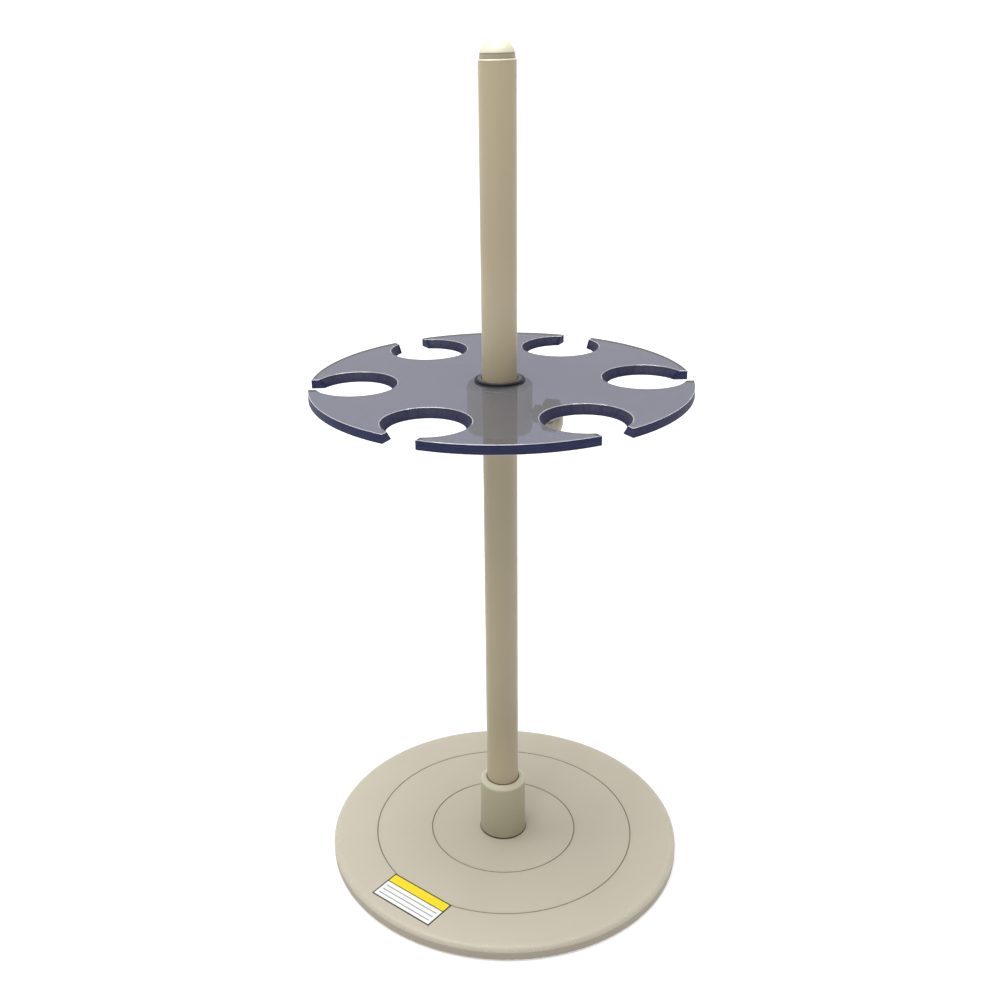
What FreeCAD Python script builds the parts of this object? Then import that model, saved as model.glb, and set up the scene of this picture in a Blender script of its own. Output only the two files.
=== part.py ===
import FreeCAD, Part
import math
import os

# Rotary rack stand with a height-adjustable plate for six stemmed instruments.
# A weighted round base carries an upright pole. A hub slides on the pole and is held by a
# clamp screw. A slotted plate turns on the hub's neck.
# Units are millimetres. +Z is up, and the origin is on the table under the pole's axis.

# ---- driving dimensions -------------------------------------------------------------------

POLE_D = 22.0
POLE_WALL = 2.0
POLE_TOP_Z = 536.8
POLE_EDGE = 0.8

BASE_D = 246.5
BASE_TOP_Z = 10.0
FOOT_PROUD = 1.0
BASE_SKIN = 3.0
BASE_RIM = 6.0
BASE_TOP_ROUND = 3.2
BASE_FOOT_ROUND = 0.6
GROOVE_RADII = (51.5, 91.6)
GROOVE_WIDTH = 0.9
GROOVE_DEPTH = 0.55

BOTTOM_COVER_T = 2.0
FOOT_D = 12.0
FOOT_POCKET = 1.0
FOOT_EDGE = 0.3
FEET = 6
FIRST_FOOT_DEG = 30.0
COVER_SCREWS = 6
UNDERSIDE_RING_R = 100.0

COLLAR_TOP_R = 15.8
COLLAR_FOOT_R = 16.3
COLLAR_TOP_Z = 53.0
COLLAR_FLOOR = 4.0
COLLAR_ROUND = 3.5
COLLAR_EDGE = 0.5
COLLAR_MOUTH_EDGE = 0.7

CAP_BAND_FOOT_R = 10.4
CAP_BAND_TOP_R = 10.1
CAP_BAND_H = 2.9
CAP_DOME_H = 7.6
CAP_WALL = 1.8
CAP_SPIGOT_H = 13.0

HUB_R = 20.5
HUB_BOTTOM_Z = 311.5
HUB_ROUND = 1.2
HUB_EDGE = 0.8
HUB_BORE_EDGE = 0.6
NECK_R = 14.0
NECK_PROUD = 1.7
NECK_DRAFT = 0.2

RACK_R = 119.5
RACK_BOTTOM_Z = 342.0
RACK_T = 6.0
RACK_EDGE = 0.35
SLOTS = 6
FIRST_SLOT_DEG = 2.4
SLOT_PITCH_R = 90.0
SLOT_TOP_R = 26.4
SLOT_SEAT_R = 23.0
SLOT_LAND_H = 0.9
MOUTH_W = 21.2
BUSH_R = 16.0

KNOB_AZIMUTH = -20.0
KNOB_Z = 324.0
KNOB_R = 10.2
KNOB_END = 41.0
KNOB_FLUTES = 8
KNOB_DOME_H = 4.0
KNOB_RIM_ROUND = 1.5
KNOB_BOSS_R = 5.5
KNOB_BOSS_EDGE = 0.5
FLUTE_R = 2.6
FLUTE_BITE = 1.17
FIRST_FLUTE_DEG = 22.5

LABEL_L = 50.0
LABEL_W = 24.0
LABEL_T = 0.2
LABEL_R = 100.3
LABEL_AZIMUTH = 232.0
LABEL_LONG_SIDE_DEG = -37.4

# ---- fits and fasteners -------------------------------------------------------------------

RUNNING_FIT = 0.06
LOOSE_FIT = 0.05
SLIDE_FIT = 0.08
WASHER_T = 0.75
WASHER_INSET = 1.0

M6_R = 3.0
M6_HEAD_R = 6.0
M6_HEAD_H = 3.0
M3_R = 1.5
M3_HEAD_R = 2.8
M3_HEAD_H = 1.4
DRIVE_DEPTH = 0.9
DRIVE_SPAN = 1.1
DRIVE_WIDTH = 0.22
SCREW_POINT = 0.4
SCREW_SHORT = 0.5
COLLAR_SCREW_BITE = 12.0
POLE_BOLT_L = 30.0

PLUG_H = 30.0
PLUG_ROOF = 5.0
PLUG_INSERT_R = 4.2
PLUG_INSERT_H = 13.0
BOLT_CLEARANCE = 0.3

# ---- worked-out places --------------------------------------------------------------------

POLE_R = POLE_D / 2
POLE_BORE_R = POLE_R - POLE_WALL
POLE_FOOT_Z = BASE_TOP_Z + COLLAR_FLOOR
BASE_R = BASE_D / 2
BASE_POCKET_R = BASE_R - BASE_RIM
BASE_POCKET_Z = BASE_TOP_Z - BASE_SKIN
COVER_TOP_Z = FOOT_PROUD + BOTTOM_COVER_T
RACK_TOP_Z = RACK_BOTTOM_Z + RACK_T
HUB_TOP_Z = RACK_BOTTOM_Z - WASHER_T - LOOSE_FIT
NECK_TOP_Z = RACK_TOP_Z + NECK_PROUD
HUB_BORE_R = POLE_R + SLIDE_FIT

BOSS_R = 4.0
BOSS_GAP = 0.5
COLLAR_SCREW_RING_R = 13.5
COLLAR_SCREWS = 3
FIRST_COLLAR_SCREW_DEG = 90.0
BALLAST_GAP = 0.5
COVER_GAP = 0.2
HOLE_ROOF = 1.0

CLIP_IN_R = 13.3
CLIP_OUT_R = 15.6
CLIP_T = 0.6
CLIP_LIFT = 0.15
CLIP_GAP_DEG = 24.0
BUSH_PROUD = 0.4
BUSH_TOP_Z = RACK_TOP_Z + BUSH_PROUD
CLIP_Z = BUSH_TOP_Z + CLIP_LIFT

PAD_R = 3.3
PAD_BACK = 13.2
CHAMBER_END = 15.4
INSERT_R = 4.4
INSERT_RECESS = 0.2
STUD_END = 36.0
STUD_TIP_R = 1.45
STUD_TIP_L = 1.0
STUD_EDGE = 0.5
BOSS_START = 23.0
HEAD_START = 29.5

# Cutters run this far past the faces they open; closer points than TOUCHING are one point.
OVERRUN = 1.0
TOUCHING = 1e-4

UP = FreeCAD.Vector(0, 0, 1)
ORIGIN = FreeCAD.Vector(0, 0, 0)


# ---- building blocks ----------------------------------------------------------------------


def bend(centre_r, centre_z, radius, from_deg, to_deg):
    """A round stretch of an outline: its middle point and its end point."""
    middle = math.radians((from_deg + to_deg) / 2)
    end = math.radians(to_deg)
    return (
        centre_r + radius * math.cos(middle),
        centre_z + radius * math.sin(middle),
        centre_r + radius * math.cos(end),
        centre_z + radius * math.sin(end),
    )


def turned(*outline):
    """A solid turned about Z from (r, z) points. A step of four numbers is an arc: middle, end."""
    edges = []
    here = outline[0]
    for step in outline[1:] + (outline[0],):
        start = FreeCAD.Vector(here[0], 0, here[1])
        end = FreeCAD.Vector(step[-2], 0, step[-1])
        here = step[-2:]
        if start.distanceToPoint(end) < TOUCHING:
            continue
        if len(step) == 4:
            middle = FreeCAD.Vector(step[0], 0, step[1])
            edges.append(Part.Arc(start, middle, end).toShape())
        else:
            edges.append(Part.LineSegment(start, end).toShape())
    return Part.Face(Part.Wire(edges)).revolve(ORIGIN, UP, 360)


def rod(radius, bottom_z, top_z, x=0.0, y=0.0):
    """An upright cylinder."""
    return Part.makeCylinder(radius, top_z - bottom_z, FreeCAD.Vector(x, y, bottom_z), UP)


def ring(inner_r, outer_r, bottom_z, top_z):
    """An upright ring of rectangular section."""
    return rod(outer_r, bottom_z, top_z).cut(rod(inner_r, bottom_z - OVERRUN, top_z + OVERRUN))


def ring_places(count, radius, first_deg=0.0):
    """Evenly spaced (x, y) places on a circle."""
    for k in range(count):
        angle = math.radians(first_deg + 360 / count * k)
        yield radius * math.cos(angle), radius * math.sin(angle)


def drill(shape, radius, bottom_z, top_z, places):
    """Cut upright holes at each place."""
    for x, y in places:
        shape = shape.cut(rod(radius, bottom_z, top_z, x, y))
    return shape


def countersunk_screw(radius, head_r, head_h, bottom_z, length, x=0.0, y=0.0):
    """A flat-head screw that points up, with a cross recess in its head."""
    screw = turned(
        (0, bottom_z),
        (head_r, bottom_z),
        (radius, bottom_z + head_h),
        (radius, bottom_z + length - radius),
        (radius * SCREW_POINT, bottom_z + length),
        (0, bottom_z + length),
    )
    slot_l = head_r * DRIVE_SPAN
    slot_w = head_r * DRIVE_WIDTH
    for size_x, size_y in ((slot_l, slot_w), (slot_w, slot_l)):
        corner = FreeCAD.Vector(-size_x / 2, -size_y / 2, bottom_z - OVERRUN)
        screw = screw.cut(Part.makeBox(size_x, size_y, OVERRUN + DRIVE_DEPTH, corner))
    screw.translate(FreeCAD.Vector(x, y, 0))
    return screw


def countersink(radius, head_r, head_h, bottom_z, top_z, x=0.0, y=0.0):
    """The hole that a flat-head screw needs: clearance round its shank and its cone."""
    hole = turned(
        (0, bottom_z - OVERRUN),
        (head_r + LOOSE_FIT, bottom_z - OVERRUN),
        (head_r + LOOSE_FIT, bottom_z),
        (radius + LOOSE_FIT, bottom_z + head_h),
        (radius + LOOSE_FIT, top_z),
        (0, top_z),
    )
    hole.translate(FreeCAD.Vector(x, y, 0))
    return hole


def along_knob(shape):
    """Turn a shape made about Z so that its axis lies along the clamp screw's."""
    shape.rotate(ORIGIN, FreeCAD.Vector(0, 1, 0), 90)
    shape.rotate(ORIGIN, UP, KNOB_AZIMUTH)
    shape.translate(FreeCAD.Vector(0, 0, KNOB_Z))
    return shape


# ---- base ---------------------------------------------------------------------------------

COVER_SCREW_PLACES = list(ring_places(COVER_SCREWS, UNDERSIDE_RING_R))
FOOT_PLACES = list(ring_places(FEET, UNDERSIDE_RING_R, FIRST_FOOT_DEG))
COLLAR_SCREW_PLACES = list(
    ring_places(COLLAR_SCREWS, COLLAR_SCREW_RING_R, FIRST_COLLAR_SCREW_DEG)
)


def base_cover():
    """Turned top shell: a skin with two fine grooves, a rim, and bosses for the screws."""
    bottom = FOOT_PROUD
    inner = BASE_R - BASE_TOP_ROUND
    foot = BASE_R - BASE_FOOT_ROUND
    blind_z = BASE_TOP_Z - HOLE_ROOF
    shell = turned(
        (0, BASE_POCKET_Z),
        (BASE_POCKET_R, BASE_POCKET_Z),
        (BASE_POCKET_R, bottom),
        (foot, bottom),
        bend(foot, bottom + BASE_FOOT_ROUND, BASE_FOOT_ROUND, -90, 0),
        (BASE_R, BASE_TOP_Z - BASE_TOP_ROUND),
        bend(inner, BASE_TOP_Z - BASE_TOP_ROUND, BASE_TOP_ROUND, 0, 90),
        (0, BASE_TOP_Z),
    )
    for radius in GROOVE_RADII:
        groove = turned(
            (radius - GROOVE_WIDTH / 2, BASE_TOP_Z),
            (radius, BASE_TOP_Z - GROOVE_DEPTH),
            (radius + GROOVE_WIDTH / 2, BASE_TOP_Z),
            (radius + GROOVE_WIDTH / 2, BASE_TOP_Z + OVERRUN),
            (radius - GROOVE_WIDTH / 2, BASE_TOP_Z + OVERRUN),
        )
        shell = shell.cut(groove)
    for x, y in COVER_SCREW_PLACES:
        shell = shell.fuse(rod(BOSS_R, COVER_TOP_Z, blind_z, x, y))
    shell = drill(shell, M3_R + LOOSE_FIT, 0, blind_z, COVER_SCREW_PLACES)
    shell = drill(shell, M3_R + LOOSE_FIT, 0, BASE_TOP_Z + OVERRUN, COLLAR_SCREW_PLACES)
    return shell.cut(rod(M6_R + LOOSE_FIT, 0, BASE_TOP_Z + OVERRUN)).removeSplitter()


def ballast_plate():
    """Steel disc that fills the base's pocket and takes the heads of the inner screws."""
    plate = rod(BASE_POCKET_R - BALLAST_GAP, COVER_TOP_Z, BASE_POCKET_Z)
    plate = drill(plate, BOSS_R + BOSS_GAP, 0, BASE_TOP_Z, COVER_SCREW_PLACES)
    plate = plate.cut(countersink(M6_R, M6_HEAD_R, M6_HEAD_H, COVER_TOP_Z, BASE_TOP_Z))
    for x, y in COLLAR_SCREW_PLACES:
        plate = plate.cut(countersink(M3_R, M3_HEAD_R, M3_HEAD_H, COVER_TOP_Z, BASE_TOP_Z, x, y))
    return plate


def bottom_cover():
    """Flat disc that closes the base from below, with shallow seats for the feet."""
    cover = rod(BASE_POCKET_R - COVER_GAP, FOOT_PROUD, COVER_TOP_Z)
    cover = drill(cover, FOOT_D / 2, 0, FOOT_PROUD + FOOT_POCKET, FOOT_PLACES)
    for x, y in COVER_SCREW_PLACES:
        cover = cover.cut(countersink(M3_R, M3_HEAD_R, M3_HEAD_H, FOOT_PROUD, BASE_TOP_Z, x, y))
    return cover


def bottom_cover_screws():
    """Flat-head screws that hold the bottom cover to the shell's bosses."""
    length = BASE_TOP_Z - HOLE_ROOF - FOOT_PROUD - SCREW_SHORT
    return Part.makeCompound([
        countersunk_screw(M3_R, M3_HEAD_R, M3_HEAD_H, FOOT_PROUD, length, x, y)
        for x, y in COVER_SCREW_PLACES
    ])


def rubber_feet():
    """Thin round feet set into the bottom cover."""
    top = FOOT_PROUD + FOOT_POCKET
    radius = FOOT_D / 2
    feet = []
    for x, y in FOOT_PLACES:
        foot = turned(
            (0, 0),
            (radius - FOOT_EDGE, 0),
            (radius, FOOT_EDGE),
            (radius, top),
            (0, top),
        )
        foot.translate(FreeCAD.Vector(x, y, 0))
        feet.append(foot)
    return Part.makeCompound(feet)


def blank_label():
    """Blank rectangular sticker near the rim of the base."""
    label = Part.makeBox(
        LABEL_L, LABEL_W, LABEL_T, FreeCAD.Vector(-LABEL_L / 2, -LABEL_W / 2, BASE_TOP_Z)
    )
    label.rotate(ORIGIN, UP, LABEL_LONG_SIDE_DEG)
    angle = math.radians(LABEL_AZIMUTH)
    label.translate(FreeCAD.Vector(LABEL_R * math.cos(angle), LABEL_R * math.sin(angle), 0))
    return label


# ---- upright ------------------------------------------------------------------------------


def collar():
    """Round socket that stands on the base and holds the pole's foot."""
    bore = POLE_R + LOOSE_FIT
    socket = turned(
        (0, BASE_TOP_Z),
        (COLLAR_FOOT_R - COLLAR_EDGE, BASE_TOP_Z),
        (COLLAR_FOOT_R - COLLAR_EDGE, BASE_TOP_Z + COLLAR_EDGE),
        (COLLAR_FOOT_R, BASE_TOP_Z + 2 * COLLAR_EDGE),
        (COLLAR_TOP_R, COLLAR_TOP_Z - COLLAR_ROUND),
        bend(COLLAR_TOP_R - COLLAR_ROUND, COLLAR_TOP_Z - COLLAR_ROUND, COLLAR_ROUND, 0, 90),
        (bore + COLLAR_MOUTH_EDGE, COLLAR_TOP_Z),
        (bore, COLLAR_TOP_Z - COLLAR_MOUTH_EDGE),
        (bore, POLE_FOOT_Z),
        (0, POLE_FOOT_Z),
    )
    socket = socket.cut(rod(M6_R + LOOSE_FIT, 0, POLE_FOOT_Z + OVERRUN))
    blind_z = BASE_TOP_Z + COLLAR_SCREW_BITE + HOLE_ROOF
    return drill(socket, M3_R + LOOSE_FIT, 0, blind_z, COLLAR_SCREW_PLACES)


def collar_screws():
    """Flat-head screws that hold the collar from below."""
    length = BASE_TOP_Z + COLLAR_SCREW_BITE - COVER_TOP_Z
    return Part.makeCompound([
        countersunk_screw(M3_R, M3_HEAD_R, M3_HEAD_H, COVER_TOP_Z, length, x, y)
        for x, y in COLLAR_SCREW_PLACES
    ])


def pole():
    """Plain tube with a small chamfer at each end."""
    return turned(
        (POLE_BORE_R, POLE_FOOT_Z),
        (POLE_R - POLE_EDGE, POLE_FOOT_Z),
        (POLE_R, POLE_FOOT_Z + POLE_EDGE),
        (POLE_R, POLE_TOP_Z - POLE_EDGE),
        (POLE_R - POLE_EDGE, POLE_TOP_Z),
        (POLE_BORE_R, POLE_TOP_Z),
    )


def pole_foot_plug():
    """Plug bonded into the pole's foot, bored for the threaded insert and the bolt's end."""
    plug = rod(POLE_BORE_R, POLE_FOOT_Z, POLE_FOOT_Z + PLUG_H)
    plug = plug.cut(rod(PLUG_INSERT_R, POLE_FOOT_Z - OVERRUN, POLE_FOOT_Z + PLUG_INSERT_H))
    bolt_hole_r = M6_R + BOLT_CLEARANCE
    return plug.cut(rod(bolt_hole_r, POLE_FOOT_Z - OVERRUN, POLE_FOOT_Z + PLUG_H - PLUG_ROOF))


def plug_insert():
    """Threaded insert in the pole's foot plug."""
    return ring(M6_R + LOOSE_FIT, PLUG_INSERT_R, POLE_FOOT_Z, POLE_FOOT_Z + PLUG_INSERT_H)


def pole_bolt():
    """Flat-head bolt that draws the pole down through the base."""
    return countersunk_screw(M6_R, M6_HEAD_R, M6_HEAD_H, COVER_TOP_Z, POLE_BOLT_L)


def top_cap():
    """Hollow plug cap: a spigot inside the pole, a band and a dome."""
    band_top = POLE_TOP_Z + CAP_BAND_H
    dome_top = band_top + CAP_DOME_H
    dome_r = (CAP_BAND_TOP_R**2 + CAP_DOME_H**2) / (2 * CAP_DOME_H)
    dome_z = dome_top - dome_r
    rim_deg = math.degrees(math.asin((band_top - dome_z) / dome_r))
    inner_dome_r = dome_r - CAP_WALL
    inner_r = POLE_BORE_R - CAP_WALL
    inner_deg = math.degrees(math.acos(inner_r / inner_dome_r))
    inner_z = dome_z + inner_dome_r * math.sin(math.radians(inner_deg))
    return turned(
        (inner_r, POLE_TOP_Z - CAP_SPIGOT_H),
        (POLE_BORE_R, POLE_TOP_Z - CAP_SPIGOT_H),
        (POLE_BORE_R, POLE_TOP_Z),
        (CAP_BAND_FOOT_R, POLE_TOP_Z),
        (CAP_BAND_TOP_R, band_top),
        bend(0, dome_z, dome_r, rim_deg, 90),
        (0, dome_z + inner_dome_r),
        bend(0, dome_z, inner_dome_r, 90, inner_deg),
        (inner_r, inner_z),
    )


# ---- sliding hub --------------------------------------------------------------------------


def hub_sleeve():
    """Hub with a neck for the rack plate, a bore for the pole and a side hole for the clamp."""
    groove_bottom = CLIP_Z - LOOSE_FIT
    groove_top = CLIP_Z + CLIP_T + LOOSE_FIT
    groove_r = CLIP_IN_R - LOOSE_FIT
    hub = turned(
        (HUB_BORE_R + HUB_BORE_EDGE, HUB_BOTTOM_Z),
        (HUB_R - HUB_ROUND, HUB_BOTTOM_Z),
        bend(HUB_R - HUB_ROUND, HUB_BOTTOM_Z + HUB_ROUND, HUB_ROUND, -90, 0),
        (HUB_R, HUB_TOP_Z - HUB_EDGE),
        (HUB_R - HUB_EDGE, HUB_TOP_Z),
        (NECK_R, HUB_TOP_Z),
        (NECK_R, groove_bottom),
        (groove_r, groove_bottom),
        (groove_r, groove_top),
        (NECK_R, groove_top),
        (NECK_R - NECK_DRAFT, NECK_TOP_Z),
        (HUB_BORE_R + HUB_EDGE, NECK_TOP_Z),
        (HUB_BORE_R, NECK_TOP_Z - HUB_EDGE),
        (HUB_BORE_R, HUB_BOTTOM_Z + HUB_BORE_EDGE),
    )
    chamber = along_knob(rod(PAD_R + RUNNING_FIT, 0, CHAMBER_END))
    seat = along_knob(rod(INSERT_R, CHAMBER_END, HUB_R + OVERRUN))
    bore = rod(HUB_BORE_R, HUB_BOTTOM_Z, NECK_TOP_Z)
    return hub.cut(chamber.fuse(seat).cut(bore))


def clamp_insert():
    """Threaded insert in the hub's side."""
    return along_knob(ring(M6_R, INSERT_R, CHAMBER_END, HUB_R - INSERT_RECESS))


def thrust_washer():
    """Slippery washer that the rack plate turns on."""
    return ring(NECK_R + RUNNING_FIT, HUB_R - WASHER_INSET, HUB_TOP_Z, HUB_TOP_Z + WASHER_T)


def retaining_clip():
    """Open spring ring in the neck's groove, which keeps the rack plate down."""
    clip = ring(CLIP_IN_R, CLIP_OUT_R, CLIP_Z, CLIP_Z + CLIP_T)
    width = 2 * CLIP_OUT_R * math.sin(math.radians(CLIP_GAP_DEG / 2))
    gap = Part.makeBox(
        CLIP_OUT_R + OVERRUN,
        width,
        CLIP_T + 2 * OVERRUN,
        FreeCAD.Vector(0, -width / 2, CLIP_Z - OVERRUN),
    )
    gap.rotate(ORIGIN, UP, 90)
    return clip.cut(gap)


# ---- turning rack -------------------------------------------------------------------------


def rack_outline_edges(plate):
    """The flat outline edges of the plate's two faces."""
    faces_z = (RACK_BOTTOM_Z, RACK_TOP_Z)
    return [
        edge
        for edge in plate.Edges
        if any(
            abs(edge.BoundBox.ZMin - z) < TOUCHING and abs(edge.BoundBox.ZMax - z) < TOUCHING
            for z in faces_z
        )
    ]


def slot_cutter():
    """One slot on the +X axis: a funnel over a short straight land, and a mouth to the rim."""
    below = RACK_BOTTOM_Z - OVERRUN
    land_top = RACK_BOTTOM_Z + SLOT_LAND_H
    slope = (SLOT_TOP_R - SLOT_SEAT_R) / (RACK_TOP_Z - land_top)
    funnel = turned(
        (0, below),
        (SLOT_SEAT_R, below),
        (SLOT_SEAT_R, land_top),
        (SLOT_TOP_R + slope * OVERRUN, RACK_TOP_Z + OVERRUN),
        (0, RACK_TOP_Z + OVERRUN),
    )
    funnel.translate(FreeCAD.Vector(SLOT_PITCH_R, 0, 0))
    mouth = Part.makeBox(
        RACK_R - SLOT_PITCH_R + OVERRUN,
        MOUTH_W,
        RACK_T + 2 * OVERRUN,
        FreeCAD.Vector(SLOT_PITCH_R, -MOUTH_W / 2, below),
    )
    return funnel.fuse(mouth)


def rack_plate():
    """Round plate with funnel-shaped slots that open through its rim."""
    plate = ring(BUSH_R, RACK_R, RACK_BOTTOM_Z, RACK_TOP_Z)
    for k in range(SLOTS):
        slot = slot_cutter()
        slot.rotate(ORIGIN, UP, FIRST_SLOT_DEG + 360 / SLOTS * k)
        plate = plate.cut(slot)
    return plate.makeChamfer(RACK_EDGE, rack_outline_edges(plate))


def rack_bush():
    """Plain bush pressed into the rack plate, which turns on the hub's neck."""
    return ring(NECK_R + RUNNING_FIT, BUSH_R, RACK_BOTTOM_Z, BUSH_TOP_Z)


# ---- clamp screw --------------------------------------------------------------------------


def clamp_pad():
    """Soft pad that the screw presses on the pole; its face is hollow to fit the pole."""
    pad = along_knob(rod(PAD_R, 0, PAD_BACK))
    pad = pad.cut(rod(POLE_R + LOOSE_FIT, KNOB_Z - PAD_R - OVERRUN, KNOB_Z + PAD_R + OVERRUN))
    tip = rod(STUD_TIP_R + LOOSE_FIT, PAD_BACK - STUD_TIP_L - LOOSE_FIT, PAD_BACK + OVERRUN)
    return pad.cut(along_knob(tip))


def clamp_stud():
    """Threaded stud with a small round tip that sits in the pad's back."""
    radius = M6_R - LOOSE_FIT
    shoulder = PAD_BACK + LOOSE_FIT
    stud = turned(
        (0, PAD_BACK - STUD_TIP_L),
        (STUD_TIP_R, PAD_BACK - STUD_TIP_L),
        (STUD_TIP_R, shoulder),
        (radius - STUD_EDGE, shoulder),
        (radius, shoulder + STUD_EDGE),
        (radius, STUD_END),
        (0, STUD_END),
    )
    return along_knob(stud)


def clamp_knob():
    """Fluted knob with a short boss and a domed end, moulded round the stud."""
    shoulder_r = KNOB_R - KNOB_RIM_ROUND
    dome_r = (KNOB_R**2 + KNOB_DOME_H**2) / (2 * KNOB_DOME_H)
    rim_deg = math.degrees(math.asin((dome_r - KNOB_DOME_H) / dome_r))
    knob = turned(
        (M6_R, BOSS_START),
        (KNOB_BOSS_R - KNOB_BOSS_EDGE, BOSS_START),
        (KNOB_BOSS_R, BOSS_START + KNOB_BOSS_EDGE),
        (KNOB_BOSS_R, HEAD_START),
        (shoulder_r, HEAD_START),
        bend(shoulder_r, HEAD_START + KNOB_RIM_ROUND, KNOB_RIM_ROUND, -90, 0),
        (KNOB_R, KNOB_END - KNOB_DOME_H),
        bend(0, KNOB_END - dome_r, dome_r, rim_deg, 90),
        (0, STUD_END),
        (M6_R, STUD_END),
    )
    flute_ring_r = KNOB_R + FLUTE_R - FLUTE_BITE
    for x, y in ring_places(KNOB_FLUTES, flute_ring_r, FIRST_FLUTE_DEG):
        knob = knob.cut(rod(FLUTE_R, HEAD_START - OVERRUN, KNOB_END + OVERRUN, x, y))
    return along_knob(knob)


# ---- export -------------------------------------------------------------------------------

NODES = (
    base_cover,
    ballast_plate,
    bottom_cover,
    bottom_cover_screws,
    rubber_feet,
    blank_label,
    collar,
    collar_screws,
    pole,
    pole_foot_plug,
    plug_insert,
    pole_bolt,
    top_cap,
    hub_sleeve,
    clamp_insert,
    thrust_washer,
    retaining_clip,
    rack_plate,
    rack_bush,
    clamp_pad,
    clamp_stud,
    clamp_knob,
)

os.makedirs("parts", exist_ok=True)
for make in NODES:
    solid = make()
    if not solid.isValid() or not solid.Solids:
        raise ValueError(make.__name__ + " is not a valid solid")
    solid.exportStep("parts/" + make.__name__ + ".step")
    print(make.__name__, len(solid.Solids), "solid(s)", round(solid.Volume / 1000, 3), "cm3")
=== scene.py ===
import math

import bpy
from mathutils import Matrix, Vector


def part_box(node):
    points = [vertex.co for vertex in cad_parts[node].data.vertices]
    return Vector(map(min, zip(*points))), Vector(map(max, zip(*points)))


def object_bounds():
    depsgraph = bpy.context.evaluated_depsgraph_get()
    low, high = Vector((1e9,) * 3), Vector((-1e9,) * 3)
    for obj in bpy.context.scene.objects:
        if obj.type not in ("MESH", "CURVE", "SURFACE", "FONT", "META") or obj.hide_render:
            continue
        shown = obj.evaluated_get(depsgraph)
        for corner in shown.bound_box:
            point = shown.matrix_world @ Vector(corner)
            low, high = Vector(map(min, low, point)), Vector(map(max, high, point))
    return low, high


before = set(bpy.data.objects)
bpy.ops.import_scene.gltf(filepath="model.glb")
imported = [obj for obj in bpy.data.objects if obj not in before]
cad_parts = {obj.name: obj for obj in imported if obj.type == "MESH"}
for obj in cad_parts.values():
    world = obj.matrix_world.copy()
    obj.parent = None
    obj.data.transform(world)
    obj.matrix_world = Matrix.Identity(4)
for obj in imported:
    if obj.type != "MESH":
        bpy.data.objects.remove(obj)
cad_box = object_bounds()

# Looks of the rotary pipette stand: procedural materials on the CAD nodes, and a plain studio.
# Units are metres and the frame is the CAD's: the pole's axis is x = y = 0, the feet stand at
# z = 0. Colours are linear. A pair of lengths says where a mask starts to change and where it
# stops.

MM = 0.001


# ---- node helpers -------------------------------------------------------------------------


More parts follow.
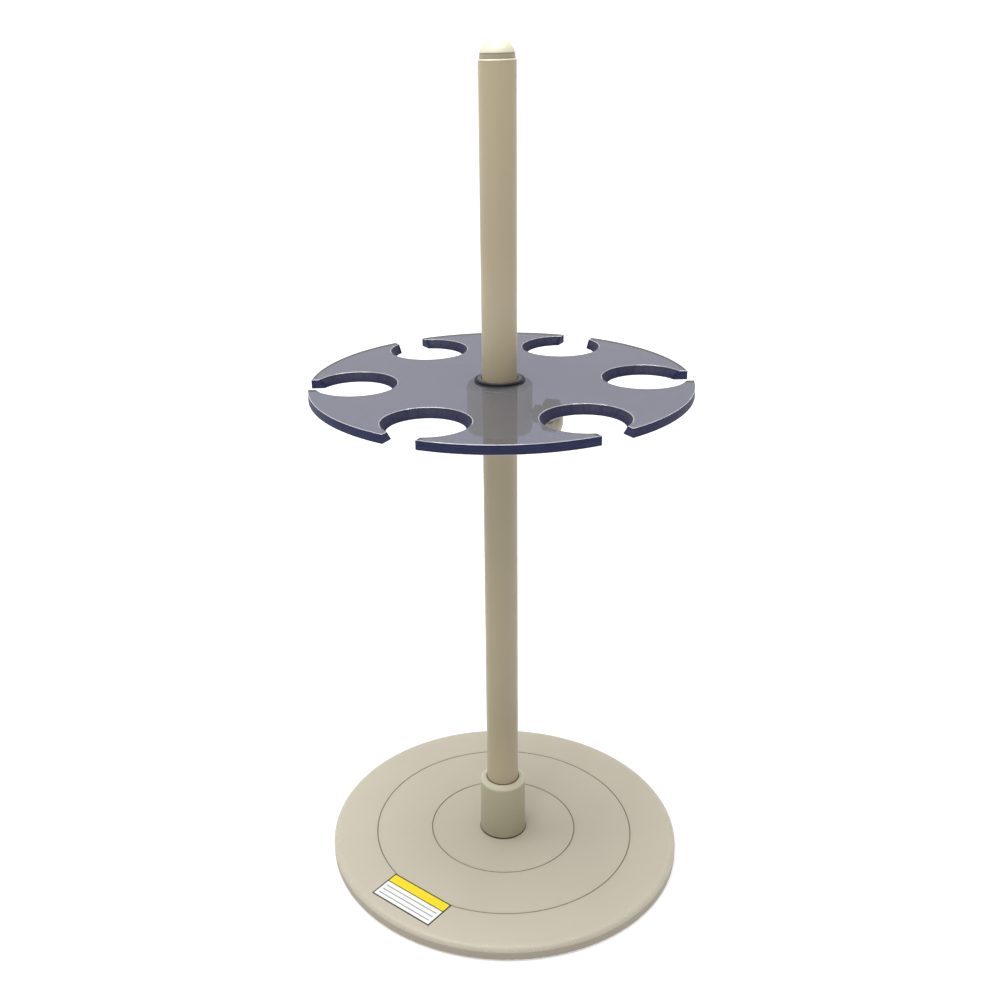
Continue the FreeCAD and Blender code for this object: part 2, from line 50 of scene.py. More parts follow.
class Material:
    """A node material with one Principled surface, built up by short calls."""

    def __init__(self, name):
        self.material = bpy.data.materials.new(name)
        self.material.use_nodes = True
        self.tree = self.material.node_tree
        self.surface = next(n for n in self.tree.nodes if n.type == "BSDF_PRINCIPLED")
        self.output = next(n for n in self.tree.nodes if n.type == "OUTPUT_MATERIAL")
        self.coordinates = self.add("ShaderNodeTexCoord")

    def add(self, kind, inputs=None, **settings):
        """A new node; inputs maps a socket's name or number to a value or to another socket."""
        made = self.tree.nodes.new(kind)
        for name, value in settings.items():
            setattr(made, name, value)
        for name, value in (inputs or {}).items():
            self.put(made.inputs[name], value)
        return made

    def put(self, socket, value):
        """Give a socket a value, or link another socket to it."""
        if isinstance(value, bpy.types.NodeSocket):
            self.tree.links.new(value, socket)
        else:
            socket.default_value = value

    def set(self, **values):
        """Set the surface's own sockets: base_color becomes Base Color."""
        for name, value in values.items():
            socket = name.replace("_", " ").title().replace("Ior", "IOR")
            self.put(self.surface.inputs[socket], value)

    # Coordinates and patterns

    def place(self, scale=(1, 1, 1), rotation=(0, 0, 0)):
        """Object coordinates, stretched and turned."""
        made = self.add("ShaderNodeMapping", {
            "Vector": self.coordinates.outputs["Object"],
            "Scale": scale,
            "Rotation": rotation,
        })
        return made.outputs["Vector"]

    def height(self):
        """The object coordinates' z."""
        place = self.coordinates.outputs["Object"]
        return self.add("ShaderNodeSeparateXYZ", {0: place}).outputs["Z"]

    def radius(self):
        """The distance from the pole's axis."""
        parts = self.add("ShaderNodeSeparateXYZ", {0: self.coordinates.outputs["Object"]})
        squares = (self.math("MULTIPLY", parts.outputs[k], parts.outputs[k]) for k in range(2))
        return self.math("SQRT", self.math("ADD", *squares))

    def ring_vector(self, radius, height, drift):
        """Coordinates that run in rings round the axis, with a little drift in x and y."""
        flat = self.add("ShaderNodeCombineXYZ", {0: radius, 1: height}).outputs[0]
        inputs = {0: flat, 1: self.place((drift, drift, 0))}
        return self.add("ShaderNodeVectorMath", inputs, operation="ADD").outputs[0]

    def noise(self, scale, detail=4.0, roughness=0.55, vector=None):
        """Noise between 0 and 1."""
        made = self.add("ShaderNodeTexNoise", {
            "Vector": vector or self.coordinates.outputs["Object"],
            "Scale": scale,
            "Detail": detail,
            "Roughness": roughness,
        })
        return made.outputs["Fac"]

    # Arithmetic and masks

    def math(self, operation, first, second=0.0):
        """One arithmetic step."""
        return self.add("ShaderNodeMath", {0: first, 1: second}, operation=operation).outputs[0]

    def product(self, *factors):
        """Masks and numbers multiplied."""
        result = factors[0]
        for factor in factors[1:]:
            result = self.math("MULTIPLY", result, factor)
        return result

    def distance(self, value, other):
        """How far one value is from another."""
        return self.math("ABSOLUTE", self.math("SUBTRACT", value, other))

    def spread(self, value, low, high, new_low=0.0, new_high=1.0):
        """Map a range of values onto another, clamped and smooth."""
        made = self.add("ShaderNodeMapRange", {
            "Value": value,
            "From Min": low,
            "From Max": high,
            "To Min": new_low,
            "To Max": new_high,
        }, interpolation_type="SMOOTHSTEP")
        return made.outputs["Result"]

    def zone(self, value, rise, fall):
        """A mask that comes up over one pair of values and goes down over another."""
        return self.product(self.spread(value, *rise), self.spread(value, *fall))

    # Colour and relief

    def ramp(self, factor, *stops):
        """A colour ramp through (position, colour) stops."""
        made = self.add("ShaderNodeValToRGB", {"Fac": factor})
        elements = made.color_ramp.elements
        while len(elements) < len(stops):
            elements.new(0.5)
        for element, (position, colour) in zip(elements, stops):
            element.position = position
            element.color = (*colour[:3], 1)
        return made.outputs["Color"]

    def mottle(self, pattern, dark, light):
        """Two colours that follow a noise pattern."""
        return self.ramp(pattern, (0.3, dark), (0.7, light))

    def mix(self, factor, first, second):
        """Blend two colours."""
        made = self.add("ShaderNodeMix", data_type="RGBA")
        for name, value in (("Factor_Float", factor), ("A_Color", first), ("B_Color", second)):
            socket = next(s for s in made.inputs if s.identifier == name)
            if not isinstance(value, bpy.types.NodeSocket) and name != "Factor_Float":
                value = (*value[:3], 1)
            self.put(socket, value)
        return next(s for s in made.outputs if s.identifier == "Result_Color")

    def tint(self, mask, colour):
        """Lay a colour over the surface's linked base colour where the mask is high."""
        before = self.surface.inputs["Base Color"].links[0].from_socket
        self.set(base_color=self.mix(mask, before, colour))

    def bump(self, height, strength, distance):
        """Raise the surface by a height pattern; calls stack up."""
        inputs = {"Height": height, "Strength": strength, "Distance": distance}
        before = self.surface.inputs["Normal"].links
        if before:
            inputs["Normal"] = before[0].from_socket
        made = self.add("ShaderNodeBump", inputs)
        self.put(self.surface.inputs["Normal"], made.outputs["Normal"])


def shade(colour, factor):
    """A colour made lighter or darker."""
    return tuple(min(1.0, c * factor) for c in colour)


# ---- plain finishes -----------------------------------------------------------------------


def plastic(name, colour, roughness=0.42, grain_scale=900.0, grain=0.12, cloud=0.05):
    """Moulded or turned plastic: cloudy colour, fine grain, faint scuffs and uneven gloss."""
    made = Material(name)
    clouds = made.noise(14.0, 5.0, 0.6)
    made.set(base_color=made.mottle(clouds, shade(colour, 1 - cloud), shade(colour, 1 + cloud)))
    specks = made.noise(420.0, 3.0, 0.7)
    made.tint(made.spread(specks, 0.62, 0.8, 0.0, 0.35), shade(colour, 0.82))
    scuffs = made.noise(60.0, 8.0, 0.75, made.place((1, 1, 0.25), (0.3, 0.2, 0.5)))
    made.set(roughness=made.spread(scuffs, 0.35, 0.7, roughness - 0.07, roughness + 0.1))
    made.bump(made.noise(grain_scale, 4.0, 0.6), grain, 0.05 * MM)
    made.bump(made.noise(28.0, 2.0), 0.15, 0.2 * MM)
    made.set(specular_ior_level=0.42)
    return made


def grey_plastic(name, value):
    """Plain moulded plastic, grey with a trace of blue."""
    colour = (value, value, value * 1.03)
    return plastic(name, colour, roughness=0.4, grain=0.1).material


def rubber():
    """Matt black rubber with a coarse grain."""
    colour = (0.035, 0.035, 0.036)
    made = plastic("foot_rubber", colour, 0.75, grain_scale=500.0, grain=0.4, cloud=0.15)
    made.set(specular_ior_level=0.25)
    return made.material


def metal(name, colour, roughness):
    """Brushed or plated metal with directional marks and dull patches."""
    made = Material(name)
    marks = made.noise(500.0, 6.0, 0.7, made.place((1, 1, 40)))
    patches = made.noise(40.0, 4.0)
    made.set(base_color=made.mottle(marks, shade(colour, 0.85), shade(colour, 1.08)))
    made.tint(made.spread(patches, 0.55, 0.8, 0.0, 0.4), shade(colour, 0.7))
    made.set(metallic=1.0)
    made.set(roughness=made.spread(patches, 0.3, 0.7, roughness - 0.06, roughness + 0.14))
    made.bump(marks, 0.2, 0.03 * MM)
    return made.material


# ---- the base and its collar --------------------------------------------------------------


BASE_CREAM = (0.535, 0.492, 0.390)
BASE_SIDE_PAINTED_SHADE = (0.315, 0.270, 0.210)
BASE_SHOULDER_PAINTED_GLINTS = (0.80, 0.77, 0.66)
GROOVE_PAINTED_SHADE = (0.085, 0.070, 0.045)
BASE_AT_COLLAR_PAINTED_SHADOW = (0.060, 0.048, 0.022)
GROOVE_RADII = (51.5 * MM, 91.6 * MM)
SIDE_HEIGHT = (7.2 * MM, 6.2 * MM)
SIDE_RADIUS = (122.5 * MM, 123.0 * MM)
SHOULDER_HEIGHT = (6.8 * MM, 7.6 * MM)
SHOULDER_RADIUS = (117.5 * MM, 119.5 * MM)
JOINT_HEIGHT = (9.0 * MM, 9.8 * MM)
JOINT_RADIUS = (17.0 * MM, 16.6 * MM)


def base_plastic():
    """The base: turned cream plastic, with painted shade along its grooves and on its side,
    painted glints speckled on its rounded shoulder, and a painted shadow round the collar's foot.
    """
    made = plastic("base_plastic", BASE_CREAM, 0.46, grain_scale=700.0, grain=0.10, cloud=0.022)
    z, radius = made.height(), made.radius()
    arcs = made.noise(1600.0, 2.0, 0.5, made.ring_vector(radius, z, drift=0.04))
    made.tint(made.product(arcs, 0.10), shade(BASE_CREAM, 0.80))
    # Painted shade along both grooves: a soft darker halo and a dark line in each groove.
    for groove in GROOVE_RADII:
        away = made.distance(radius, groove)
        made.tint(made.spread(away, 0.5 * MM, 3.5 * MM, 0.10, 0.0), shade(BASE_CREAM, 0.6))
        made.tint(made.spread(away, 0.2 * MM, 0.5 * MM, 0.62, 0.0), GROOVE_PAINTED_SHADE)
    # The upright side is darkened brown: painted shade, for a side that gets less light than the
    # top.
    side = made.product(made.spread(z, *SIDE_HEIGHT), made.spread(radius, *SIDE_RADIUS))
    made.tint(made.product(side, 0.65), BASE_SIDE_PAINTED_SHADE)
    # Pale specks on the rounded shoulder: painted glints.
    shoulder = made.product(
        made.spread(radius, *SHOULDER_RADIUS), made.spread(z, *SHOULDER_HEIGHT)
    )
    specks = made.spread(made.noise(900.0, 3.0, 0.7), 0.52, 0.72)
    made.tint(made.product(shoulder, specks, 0.45), BASE_SHOULDER_PAINTED_GLINTS)
    # A dark ring round the collar's foot: painted shadow where the collar meets the base.
    collar_foot_shadow = made.product(
        made.spread(radius, *JOINT_RADIUS, 0.0, 0.75), made.spread(z, *JOINT_HEIGHT)
    )
    made.tint(collar_foot_shadow, BASE_AT_COLLAR_PAINTED_SHADOW)
    return made.material


COLLAR_GREEN = (0.480, 0.450, 0.322)
COLLAR_TOP_PAINTED_HIGHLIGHT = (0.70, 0.675, 0.495)
COLLAR_MOUTH_PAINTED_SHADE = (0.16, 0.12, 0.06)
COLLAR_FOOT_PAINTED_HIGHLIGHT = (0.68, 0.65, 0.50)
COLLAR_BOTTOM_PAINTED_SHADOW = (0.035, 0.028, 0.012)
COLLAR_TOP_HEIGHT = (49.5 * MM, 51.5 * MM)
MOUTH_HEIGHT = (51.0 * MM, 52.0 * MM)
MOUTH_RADIUS = (11.9 * MM, 11.4 * MM)
COLLAR_FOOT_RISE = (10.6 * MM, 10.9 * MM)
COLLAR_FOOT_FALL = (11.8 * MM, 11.1 * MM)
COLLAR_JOINT_HEIGHT = (10.9 * MM, 10.6 * MM)


def collar_plastic():
    """The collar: a greener moulding, with a painted highlight on its rounded top and on its foot
    edge, painted shade in its mouth round the pole, and a painted shadow along its foot joint.
    """
    made = plastic("collar_plastic", COLLAR_GREEN, grain_scale=800.0, grain=0.10, cloud=0.02)
    z, radius = made.height(), made.radius()
    # Paler rounded top: painted highlight where the top faces the light.
    made.tint(made.spread(z, *COLLAR_TOP_HEIGHT, 0.0, 0.85), COLLAR_TOP_PAINTED_HIGHLIGHT)
    # A dark lip in the mouth round the pole: painted shade in the gap.
    mouth = made.product(made.spread(radius, *MOUTH_RADIUS), made.spread(z, *MOUTH_HEIGHT))
    made.tint(made.product(mouth, 0.8), COLLAR_MOUTH_PAINTED_SHADE)
    # A pale line just above the foot: painted highlight on the lower edge.
    foot_highlight = made.zone(z, COLLAR_FOOT_RISE, COLLAR_FOOT_FALL)
    made.tint(made.product(foot_highlight, 0.8), COLLAR_FOOT_PAINTED_HIGHLIGHT)
    # Dark bottom of the collar: painted shadow in the gap over the base.
    made.tint(made.spread(z, *COLLAR_JOINT_HEIGHT), COLLAR_BOTTOM_PAINTED_SHADOW)
    return made.material


# ---- the pole and its cap -----------------------------------------------------------------


POLE_TAN = (0.385, 0.325, 0.210)
POLE_DIE_LINE = (0.355, 0.315, 0.225)
POLE_ABOVE_PLATE_PAINTED_HIGHLIGHT = (0.72, 0.62, 0.43)
POLE_NEAR_BASE_PAINTED_LIGHT = (0.60, 0.51, 0.35)
POLE_BELOW_PLATE_PAINTED_SHADOW = (0.24, 0.205, 0.135)
POLE_AT_COLLAR_PAINTED_SHADE = (0.13, 0.10, 0.05)
POLE_TOP_EDGE_PAINTED_HIGHLIGHT = (0.66, 0.58, 0.41)
ABOVE_PLATE_HIGHLIGHT_RISE = (300 * MM, 362 * MM)
ABOVE_PLATE_HIGHLIGHT_FALL = (440 * MM, 368 * MM)
BELOW_PLATE_SHADOW_RISE = (160 * MM, 270 * MM)
BELOW_PLATE_SHADOW_FALL = (365 * MM, 285 * MM)
NEAR_BASE_LIGHT_HEIGHT = (110 * MM, 54 * MM)
AT_COLLAR_SHADE_HEIGHT = (53.5 * MM, 52.8 * MM)
TOP_EDGE_HIGHLIGHT_HEIGHT = (535.8 * MM, 536.2 * MM)


def pole_plastic():
    """Drawn tube: long faint die lines and slide marks, with painted light and shade by height: a
    pale painted highlight at the top edge, a painted highlight band above the plate, a painted
    shadow below it, painted bounce light near the collar and a ring of painted shade at the
    collar's mouth.
    """
    made = plastic("pole_plastic", POLE_TAN, 0.40, grain=0.08, cloud=0.02)
    z = made.height()
    lines = made.noise(260.0, 3.0, 0.6, made.place((1, 1, 0.01)))
    made.tint(made.spread(lines, 0.40, 0.70, 0.0, 0.35), POLE_DIE_LINE)
    marks = made.noise(150.0, 5.0, 0.7, made.place((1, 1, 0.06), (0, 0, 0.6)))
    made.tint(made.spread(marks, 0.60, 0.75, 0.0, 0.22), shade(POLE_TAN, 1.25))
    # A pale band just above the plate: painted highlight for light thrown up by the plate.
    made.tint(made.product(made.zone(z, ABOVE_PLATE_HIGHLIGHT_RISE, ABOVE_PLATE_HIGHLIGHT_FALL), 0.34), POLE_ABOVE_PLATE_PAINTED_HIGHLIGHT)
    # Paler towards the collar: painted light bounced up from the base.
    made.tint(made.spread(z, *NEAR_BASE_LIGHT_HEIGHT, 0.0, 0.45), POLE_NEAR_BASE_PAINTED_LIGHT)
    # A darker band below the plate: painted shadow of the plate.
    made.tint(made.product(made.zone(z, BELOW_PLATE_SHADOW_RISE, BELOW_PLATE_SHADOW_FALL), 0.25), POLE_BELOW_PLATE_PAINTED_SHADOW)
    # A dark ring where the pole enters the collar: painted shade in the gap.
    made.tint(made.spread(z, *AT_COLLAR_SHADE_HEIGHT, 0.0, 0.75), POLE_AT_COLLAR_PAINTED_SHADE)
    # A pale ring at the top edge: painted highlight on the cut end.
    made.tint(made.spread(z, *TOP_EDGE_HIGHLIGHT_HEIGHT, 0.0, 0.9), POLE_TOP_EDGE_PAINTED_HIGHLIGHT)
    made.bump(lines, 0.18, 0.03 * MM)
    return made.material


CAP_CREAM = (0.555, 0.535, 0.395)
CAP_BAND_PAINTED_SHADE = (0.290, 0.255, 0.185)
CAP_EDGE_PAINTED_SHADE = (0.12, 0.10, 0.06)
CAP_BAND_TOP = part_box("pole")[1][2] + 2.9 * MM


def cap_plastic():
    """The cap: a cream dome over a band darkened to tan as painted shade, with a darker line of
    painted shade where they meet.
    """
    made = plastic("cap_plastic", CAP_CREAM, 0.30, grain_scale=600.0, grain=0.06, cloud=0.02)
    z = made.height()
    # The upright band is darkened to tan: painted shade; the dark line at the dome's edge is
    # painted shade too.
    band = made.spread(z, CAP_BAND_TOP + 0.15 * MM, CAP_BAND_TOP - 0.10 * MM)
    made.tint(band, CAP_BAND_PAINTED_SHADE)
    away = made.distance(z, CAP_BAND_TOP)
    made.tint(made.spread(away, 0.15 * MM, 0.45 * MM, 0.7, 0.0), CAP_EDGE_PAINTED_SHADE)
    return made.material


# ---- the hub, the knob and the clear plate ------------------------------------------------


HUB_CREAM = (0.63, 0.585, 0.485)
HUB_RIM_PAINTED_HIGHLIGHT = (0.95, 0.93, 0.88)
NECK_SHADE_DARK, NECK_SHADE_GREY = (0.040, 0.037, 0.036), (0.105, 0.095, 0.085)
HUB_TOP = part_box("thrust_washer")[0][2]
HUB_RIM_HEIGHT = (HUB_TOP - 1.3 * MM, HUB_TOP - 0.7 * MM)
HUB_RIM_RADIUS = (19.2 * MM, 19.7 * MM)
NECK_HEIGHT = (HUB_TOP + 1.0 * MM, HUB_TOP + 2.5 * MM)


def hub_plastic():
    """The hub: a painted highlight at its turned rim, and mottled dark grey painted shade on the
    neck above it.
    """
    made = plastic("hub_plastic", HUB_CREAM, grain_scale=800.0, grain=0.10, cloud=0.03)
    z, radius = made.height(), made.radius()
    # A bright ring at the turned rim: painted highlight on the chamfer.
    rim_highlight = made.product(made.spread(z, *HUB_RIM_HEIGHT), made.spread(radius, *HUB_RIM_RADIUS))
    made.tint(rim_highlight, HUB_RIM_PAINTED_HIGHLIGHT)
    # The neck in the plate's bore is mottled dark grey: painted shade.
    neck_shade = made.ramp(made.noise(700.0, 5.0, 0.75), (0.35, NECK_SHADE_DARK), (0.65, NECK_SHADE_GREY))
    made.tint(made.spread(z, *NECK_HEIGHT), neck_shade)
    return made.material


# The knob's cream is darkened as painted shade, for the knob under the plate.
KNOB_CREAM_SHADED = (0.35, 0.32, 0.24)
KNOB_FLUTE_PAINTED_SHADE = (0.20, 0.15, 0.085)
KNOB_STREAK_TURN = math.radians(20)


def knob_plastic():
    """Moulded knob: cream darkened as painted shade, with streaks of painted shade along its
    flutes.
    """
    made = plastic("knob_plastic", KNOB_CREAM_SHADED, 0.32, grain_scale=700.0, grain=0.08, cloud=0.04)
    along = made.place((0.15, 1, 1), (0, 0, KNOB_STREAK_TURN))
    # Brown streaks along the flutes: painted shade between them.
    flute_shade = made.noise(320.0, 3.0, 0.6, along)
    made.tint(made.spread(flute_shade, 0.45, 0.70, 0.0, 0.6), KNOB_FLUTE_PAINTED_SHADE)
    return made.material


# The clear plate's masks read how level a face is: 0 on an upright wall, 1 on a flat face.
WALL_LEVEL = (0.55, 0.62)
CHAMFER_RISE = (0.58, 0.64)
CHAMFER_FALL = (0.85, 0.92)
SLOPING_LEVEL = (0.25, 0.45)
PLATE_CLEAR, PLATE_CLEARER = (0.92, 0.91, 0.96), (0.99, 0.97, 1.0)
WALL_INDIGO, WALL_INDIGO_PALE = (0.019, 0.022, 0.063), (0.033, 0.037, 0.098)
FUNNEL_INDIGO_SHADED, FUNNEL_INDIGO_SHADED_PALE = (0.006, 0.007, 0.028), (0.011, 0.013, 0.046)
LIP_PAINTED_SHADE = (0.004, 0.005, 0.014)
CHAMFER_PAINTED_HIGHLIGHT = (0.55, 0.55, 0.62)
LIP_FROM_MIDDLE = (2.0 * MM, 2.4 * MM)
RACK_MIDDLE = (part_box("rack_plate")[0][2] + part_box("rack_plate")[1][2]) / 2
ABSORPTION = {"Color": (0.05, 0.06, 0.25, 1), "Density": 290.0}


def tinted_acrylic():
    """Clear smoke-violet sheet: its cut walls look dark indigo, with painted shade on the sloping
    walls and along the walls' lips, and a painted highlight on its broken edges.
    """
    made = Material("tinted_acrylic")
    facing = made.add("ShaderNodeNewGeometry").outputs["Normal"]
    level = made.math("ABSOLUTE", made.add("ShaderNodeSeparateXYZ", {0: facing}).outputs["Z"])
    wall = made.spread(level, *WALL_LEVEL, 1.0, 0.0)
    # The chamfered edges turn pale: painted highlight.
    chamfer_highlight = made.product(
        made.spread(level, *CHAMFER_RISE), made.spread(level, *CHAMFER_FALL, 1.0, 0.0)
    )
    smears = made.noise(9.0, 4.0, 0.6)
    made.set(base_color=made.mottle(smears, PLATE_CLEAR, PLATE_CLEARER))
    saw_marks = made.noise(350.0, 3.0, 0.6, made.place((0.3, 0.3, 4)))
    upright = made.mottle(saw_marks, WALL_INDIGO, WALL_INDIGO_PALE)
    # Darker indigo on the sloping funnel walls: painted shade that offsets the overhead light they
    # face.
    sloping_shaded = made.mottle(saw_marks, FUNNEL_INDIGO_SHADED, FUNNEL_INDIGO_SHADED_PALE)
    indigo = made.mix(made.spread(level, *SLOPING_LEVEL), upright, sloping_shaded)
    # The walls darken towards the plate's faces: painted shade along the lips.
    from_middle = made.distance(made.height(), RACK_MIDDLE)
    indigo = made.mix(made.spread(from_middle, *LIP_FROM_MIDDLE, 0.0, 0.75), indigo, LIP_PAINTED_SHADE)
    made.tint(wall, indigo)
    made.tint(chamfer_highlight, CHAMFER_PAINTED_HIGHLIGHT)
    clear = made.math("SUBTRACT", 0.94, made.product(wall, 0.90))
    clear = made.math("SUBTRACT", clear, made.product(chamfer_highlight, 0.6))
    made.set(transmission_weight=clear, ior=1.49)
    made.set(specular_ior_level=made.math("SUBTRACT", 0.5, made.product(wall, 0.42)))
    fine = made.noise(700.0, 3.0, 0.8, made.place((1, 0.08, 1), (0, 0, 0.4)))
    polish = made.spread(fine, 0.55, 0.8, 0.012, 0.06)
    made.set(roughness=made.math("ADD", polish, made.product(wall, 0.50)))
    depth = made.add("ShaderNodeVolumeAbsorption", ABSORPTION)
    made.put(made.output.inputs["Volume"], depth.outputs["Volume"])
    return made.material


# ---- the blank label ----------------------------------------------------------------------


LABEL_TURN = math.radians(37.4)
LABEL_LENGTH, LABEL_WIDTH = 50.0 * MM, 24.0 * MM
LABEL_BAND = 8.3 * MM
LABEL_BORDER = 0.9 * MM
BAND_LINE_HALF_WIDTH = 0.4 * LABEL_BORDER
RULED_MARGIN = 3 * MM
RULED_PITCHES = 4
RULED_HALF_WIDTH_IN_PITCHES = 0.075
LABEL_WHITES = (0.80, 0.80, 0.79), (0.88, 0.88, 0.87)
LABEL_YELLOWS = (0.84, 0.65, 0.004), (0.92, 0.74, 0.008)
BORDER_BLACK = (0.012, 0.011, 0.010)
RULED_GREY = (0.10, 0.10, 0.11)


def label_places(made):
    """Coordinates along and across the label, from its middle."""
    low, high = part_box("blank_label")
    middle = ((low[0] + high[0]) / 2, (low[1] + high[1]) / 2, 0)
    moved = {0: made.coordinates.outputs["Object"], 1: middle}
    move = made.add("ShaderNodeVectorMath", moved, operation="SUBTRACT")
    turned = {"Vector": move.outputs[0], "Rotation": (0, 0, LABEL_TURN)}
    turn = made.add("ShaderNodeMapping", turned)
    parts = made.add("ShaderNodeSeparateXYZ", {0: turn.outputs["Vector"]})
    return parts.outputs["X"], parts.outputs["Y"]


def label_film():
    """Blank sticker: a yellow band over a white field with three ruled lines, in a thin border."""
    made = Material("label_film")
    along, across = label_places(made)
    end, side = LABEL_LENGTH / 2, LABEL_WIDTH / 2
    band_edge = side - LABEL_BAND
    fleck = made.noise(900.0, 4.0, 0.7)
    white = made.mottle(fleck, *LABEL_WHITES)
    yellow = made.mottle(fleck, *LABEL_YELLOWS)
    band = made.math("GREATER_THAN", across, band_edge)
    made.set(base_color=made.mix(band, white, yellow))
    from_middle, from_centre_line = (made.math("ABSOLUTE", part) for part in (along, across))
    outside = made.math(
        "MAXIMUM",
        made.math("GREATER_THAN", from_middle, end - LABEL_BORDER),
        made.math("GREATER_THAN", from_centre_line, side - LABEL_BORDER),
    )
    near_band = made.math("LESS_THAN", made.distance(across, band_edge), BAND_LINE_HALF_WIDTH)
    made.tint(made.math("MAXIMUM", outside, near_band), BORDER_BLACK)
    pitch = (band_edge + side) / RULED_PITCHES
    from_side = made.math("ADD", across, side)
    half_past = made.math("ADD", made.math("DIVIDE", from_side, pitch), 0.5)
    phase = made.distance(made.math("FRACT", half_past), 0.5)
    ruled = made.product(
        made.math("LESS_THAN", phase, RULED_HALF_WIDTH_IN_PITCHES),
        made.math("LESS_THAN", from_middle, end - RULED_MARGIN),
        made.math("LESS_THAN", across, band_edge - pitch / 2),
        made.math("GREATER_THAN", from_side, pitch / 2),
    )
    made.tint(ruled, RULED_GREY)
    made.set(roughness=made.spread(made.noise(80.0, 5.0), 0.3, 0.7, 0.25, 0.42))
    made.bump(made.noise(120.0, 2.0), 0.2, 0.05 * MM)
    return made.material


# ---- which node gets which ----------------------------------------------------------------


def dress(node, material):
    """Give a CAD node its material."""
    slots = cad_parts[node].data.materials
    slots.clear()
    slots.append(material)


steel = metal("screw_steel", (0.62, 0.62, 0.60), 0.3)
brass = metal("insert_brass", (0.75, 0.58, 0.28), 0.32)
FINISHES = {
    "base_cover": base_plastic(),
    "collar": collar_plastic(),
    "pole": pole_plastic(),
    "top_cap": cap_plastic(),
    "hub_sleeve": hub_plastic(),
    "clamp_knob": knob_plastic(),
    "rack_plate": tinted_acrylic(),
    "rack_bush": plastic("bush_plastic", (0.028, 0.028, 0.050), 0.5).material,
    "thrust_washer": grey_plastic("washer_plastic", 0.75),
    "clamp_pad": grey_plastic("pad_plastic", 0.70),
    "pole_foot_plug": grey_plastic("plug_plastic", 0.30),
    "retaining_clip": metal("clip_steel", (0.040, 0.040, 0.058), 0.45),
    "ballast_plate": metal("ballast_steel", (0.36, 0.37, 0.38), 0.45),
    "rubber_feet": rubber(),
    "blank_label": label_film(),
    "clamp_stud": steel,
    "pole_bolt": steel,
    "collar_screws": steel,
    "bottom_cover_screws": steel,
    "clamp_insert": brass,
    "plug_insert": brass,
}
FINISHES["bottom_cover"] = FINISHES["base_cover"]
for node, finish in FINISHES.items():
    dress(node, finish)


# ---- studio -------------------------------------------------------------------------------


FLOOR_HALF_SIZE = 12.0
FLOOR_GAP = 0.02 * MM
FLOOR_GREYS = (0.64, 0.64, 0.64), (0.67, 0.67, 0.67)
GLOW_RADIUS = (0.15, 1.6)
GLOW_STRENGTH = (0.40, 0.95)


def studio_floor():
    """A large pale floor under the feet, which glows more away from the object."""
    mesh = bpy.data.meshes.new("floor")
    size, level = FLOOR_HALF_SIZE, cad_box[0].z - FLOOR_GAP
    corners = [(x * size, y * size, level) for x, y in ((-1, -1), (1, -1), (1, 1), (-1, 1))]
    mesh.from_pydata(corners, [], [(0, 1, 2, 3)])
    floor = bpy.data.objects.new("floor", mesh)
    bpy.context.collection.objects.link(floor)
    finish = Material("floor_paint")
    finish.set(base_color=finish.mottle(finish.noise(3.0), *FLOOR_GREYS))
    finish.set(roughness=0.9, specular_ior_level=0.1)
    glow = finish.spread(finish.radius(), *GLOW_RADIUS, *GLOW_STRENGTH)
    finish.set(emission_strength=glow, emission_color=(1, 1, 1, 1))
    mesh.materials.append(finish.material)


def soft_light(name, place, aim, size, power):
    """A square area light at a place, turned to a point."""
    data = bpy.data.lights.new(name, "AREA")
    data.size = size
    data.energy = power
    light = bpy.data.objects.new(name, data)
    light.location = place
    direction = Vector(aim) - Vector(place)
    light.rotation_euler = direction.to_track_quat("-Z", "Y").to_euler()
    bpy.context.collection.objects.link(light)


# The tent's strength runs from front to back with Y, and from low to overhead with Z.
TENT_BACK, TENT_FRONT, TENT_TOP = 1.05, 0.38, 0.48
TENT_BLENDS = (
    ("Y", (-0.45, 0.35), (TENT_FRONT, TENT_BACK)),
    ("Z", (0.06, 0.26), (1.0, TENT_TOP)),
)


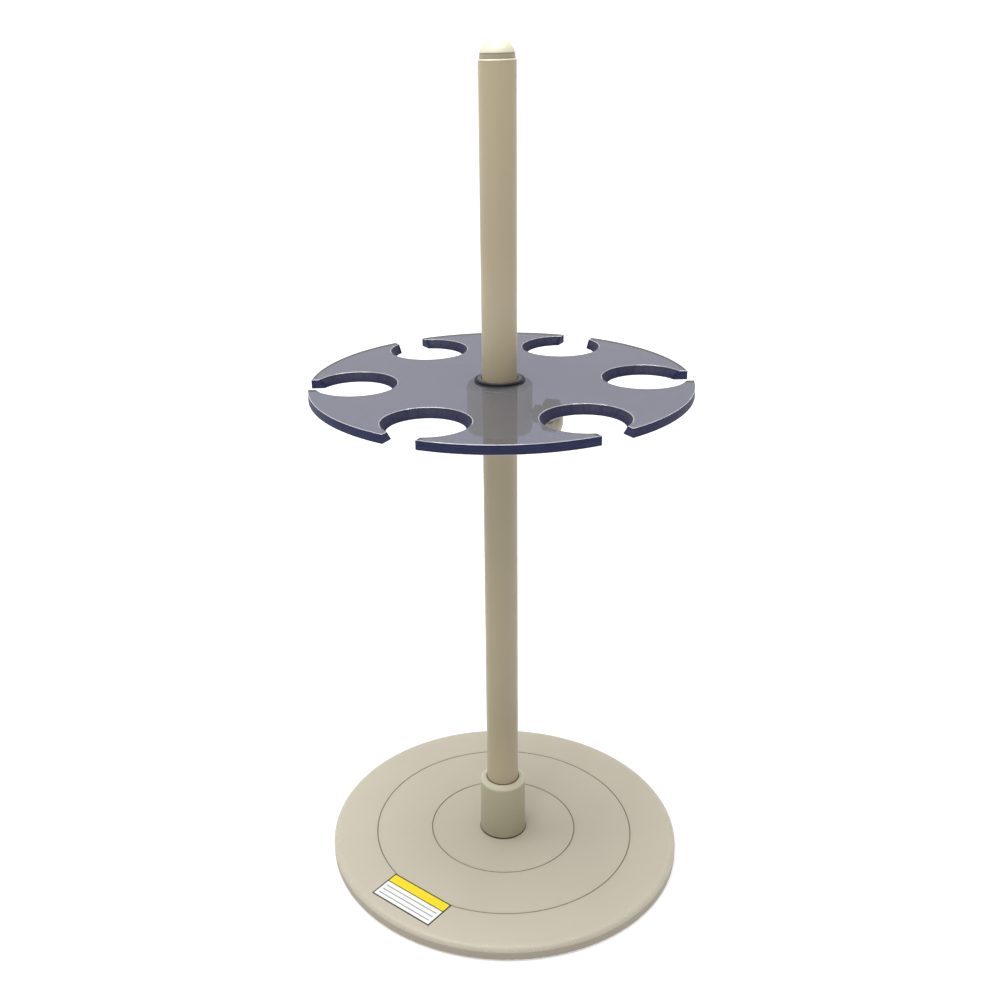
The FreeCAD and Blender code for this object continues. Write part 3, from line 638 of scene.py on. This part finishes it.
def surroundings():
    """A white tent: bright behind, dim on the camera's side and grey overhead."""
    world = bpy.data.worlds.new("tent")
    bpy.context.scene.world = world
    world.use_nodes = True
    tree = world.node_tree
    background = next(n for n in tree.nodes if n.type == "BACKGROUND")
    where = tree.nodes.new("ShaderNodeTexCoord")
    parts = tree.nodes.new("ShaderNodeSeparateXYZ")
    tree.links.new(where.outputs["Generated"], parts.inputs[0])
    product = tree.nodes.new("ShaderNodeMath")
    product.operation = "MULTIPLY"
    for factor, (axis, across, strengths) in zip(product.inputs, TENT_BLENDS):
        blend = tree.nodes.new("ShaderNodeMapRange")
        blend.interpolation_type = "SMOOTHSTEP"
        tree.links.new(parts.outputs[axis], blend.inputs["Value"])
        blend.inputs["From Min"].default_value, blend.inputs["From Max"].default_value = across
        blend.inputs["To Min"].default_value, blend.inputs["To Max"].default_value = strengths
        tree.links.new(blend.outputs["Result"], factor)
    tree.links.new(product.outputs[0], background.inputs["Strength"])
    background.inputs["Color"].default_value = (1, 1, 1, 1)


CAMERA_PLACE = (0.0, -0.6995, 0.5569)
CAMERA_YAW_DEG = -3.52
CAMERA_PITCH_DEG = 21.67
CAMERA_ROLL_DEG = -1.74
LENS_MM = 41.86
SENSOR_MM = 36.0
SHIFT = (0.066, -0.016)


def camera():
    """The camera: slightly above the pole's top, looking down on the base."""
    data = bpy.data.cameras.new("camera")
    data.lens = LENS_MM
    data.sensor_width = SENSOR_MM
    data.shift_x, data.shift_y = SHIFT
    data.clip_start = 0.01
    made = bpy.data.objects.new("camera", data)
    turn = Matrix.Rotation(math.radians(-CAMERA_YAW_DEG), 4, "Z")
    tilt = Matrix.Rotation(math.radians(90 - CAMERA_PITCH_DEG), 4, "X")
    roll = Matrix.Rotation(math.radians(CAMERA_ROLL_DEG), 4, "Z")
    made.matrix_world = Matrix.Translation(CAMERA_PLACE) @ turn @ tilt @ roll
    bpy.context.collection.objects.link(made)
    bpy.context.scene.camera = made


studio_floor()
surroundings()
soft_light("overhead", place=(-0.12, -0.05, 1.60), aim=(0, 0, 0.1), size=1.2, power=33.0)
soft_light("front_top", place=(-0.30, -0.70, 1.20), aim=(0, 0, 0.4), size=0.5, power=1.5)
camera()
scene = bpy.context.scene
scene.view_settings.view_transform = "Standard"
scene.cycles.use_denoising = True
scene.cycles.max_bounces = 16
scene.cycles.transmission_bounces = 12
